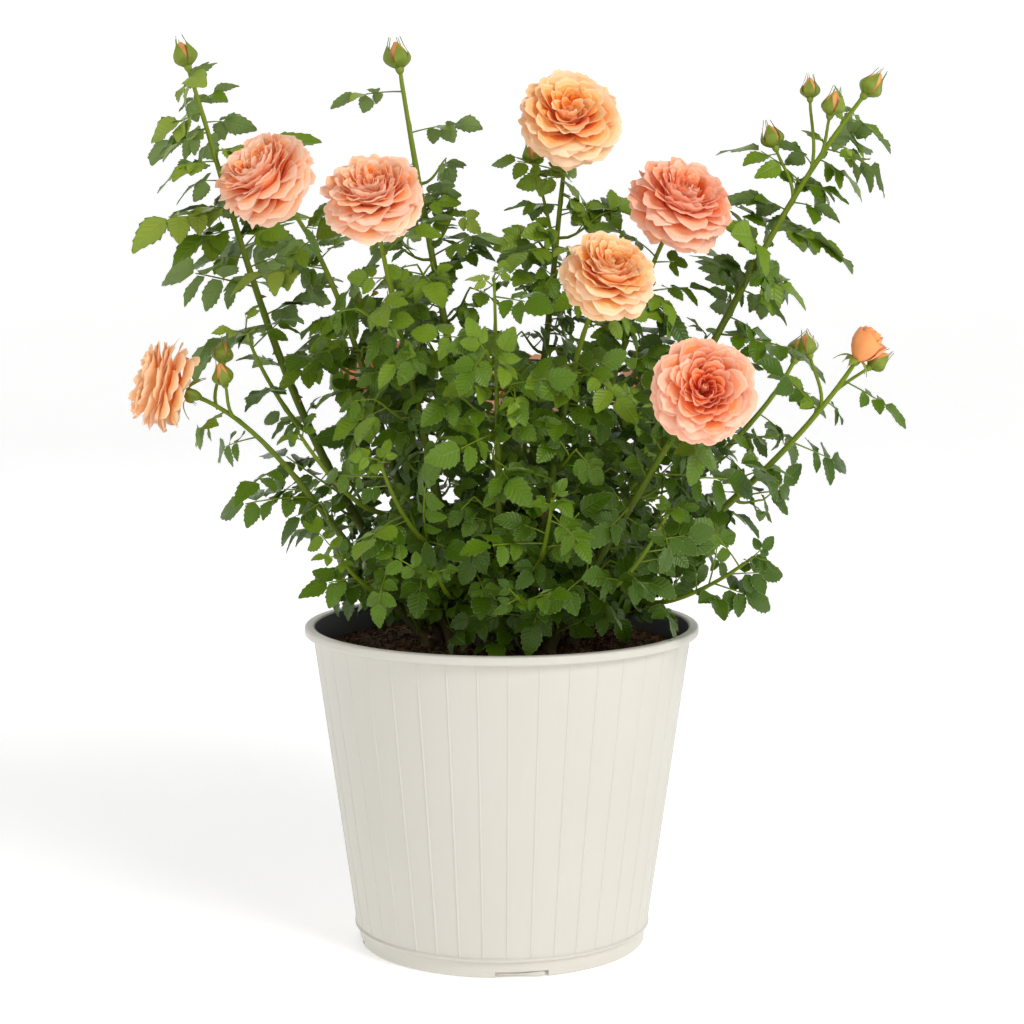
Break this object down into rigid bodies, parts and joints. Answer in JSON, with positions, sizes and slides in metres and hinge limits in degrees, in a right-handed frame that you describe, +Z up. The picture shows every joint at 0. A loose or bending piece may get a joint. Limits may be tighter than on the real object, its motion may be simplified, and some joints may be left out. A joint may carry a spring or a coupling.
{
  "type": "potted rose bush",
  "caption": "Rose bush with full, many-petalled flowers and closed buds on leafy arching canes that fan out of the soil of a round, tapering pot with a rolled rim.",
  "frame": {"origin": "middle of the pot's flat underside", "axes": "+Z up through the pot; the flowers' best side faces -Y; +X is to the right seen from that side"},
  "size_m": [0.478, 0.3812, 0.5724],
  "materials": {
    "pot_plastic": "off-white satin plastic, fine upright ribs",
    "soil": "dark, fibrous peat and bark",
    "crown_bark": "brown-green bark",
    "cane_skin": "smooth yellow-green skin with scattered prickles",
    "foliage_and_flowers": "satin green leaves, soft peach and pink petals"
  },
  "bodies": {
    "root": {"back_centre_cane": "cane_skin", "back_centre_shoot": "foliage_and_flowers", "back_left_cane": "cane_skin", "back_left_shoot": "foliage_and_flowers", "back_right_cane": "cane_skin", "back_right_shoot": "foliage_and_flowers", "centre_tall_cane": "cane_skin", "centre_tall_shoot": "foliage_and_flowers", "crown": "crown_bark", "front_flower_cane": "cane_skin", "front_flower_shoot": "foliage_and_flowers", "front_leaves_cane": "cane_skin", "front_leaves_shoot": "foliage_and_flowers", "front_low_cane": "cane_skin", "front_low_shoot": "foliage_and_flowers", "front_right_cane": "cane_skin", "front_right_shoot": "foliage_and_flowers", "left_flower_cane": "cane_skin", "left_flower_shoot": "foliage_and_flowers", "left_low_cane": "cane_skin", "left_low_shoot": "foliage_and_flowers", "left_tall_cane": "cane_skin", "left_tall_shoot": "foliage_and_flowers", "pot": "pot_plastic", "right_back_cane": "cane_skin", "right_back_shoot": "foliage_and_flowers", "right_flower_cane": "cane_skin", "right_flower_shoot": "foliage_and_flowers", "right_low_cane": "cane_skin", "right_low_shoot": "foliage_and_flowers", "right_tall_cane": "cane_skin", "right_tall_shoot": "foliage_and_flowers", "side_shoot_01": "foliage_and_flowers", "side_shoot_02": "foliage_and_flowers", "side_shoot_03": "foliage_and_flowers", "side_shoot_04": "foliage_and_flowers", "side_shoot_05": "foliage_and_flowers", "side_shoot_06": "foliage_and_flowers", "side_shoot_07": "foliage_and_flowers", "side_shoot_08": "foliage_and_flowers", "side_shoot_09": "foliage_and_flowers", "side_shoot_10": "foliage_and_flowers", "side_shoot_11": "foliage_and_flowers", "side_shoot_12": "foliage_and_flowers", "side_shoot_13": "foliage_and_flowers", "side_shoot_14": "foliage_and_flowers", "side_shoot_15": "foliage_and_flowers", "side_shoot_16": "foliage_and_flowers", "side_shoot_17": "foliage_and_flowers", "side_shoot_18": "foliage_and_flowers", "side_shoot_19": "foliage_and_flowers", "side_shoot_20": "foliage_and_flowers", "side_shoot_21": "foliage_and_flowers", "side_shoot_22": "foliage_and_flowers", "side_shoot_23": "foliage_and_flowers", "side_shoot_24": "foliage_and_flowers", "soil": "soil", "top_flower_cane": "cane_skin", "top_flower_shoot": "foliage_and_flowers"}
  },
  "joints": []
}
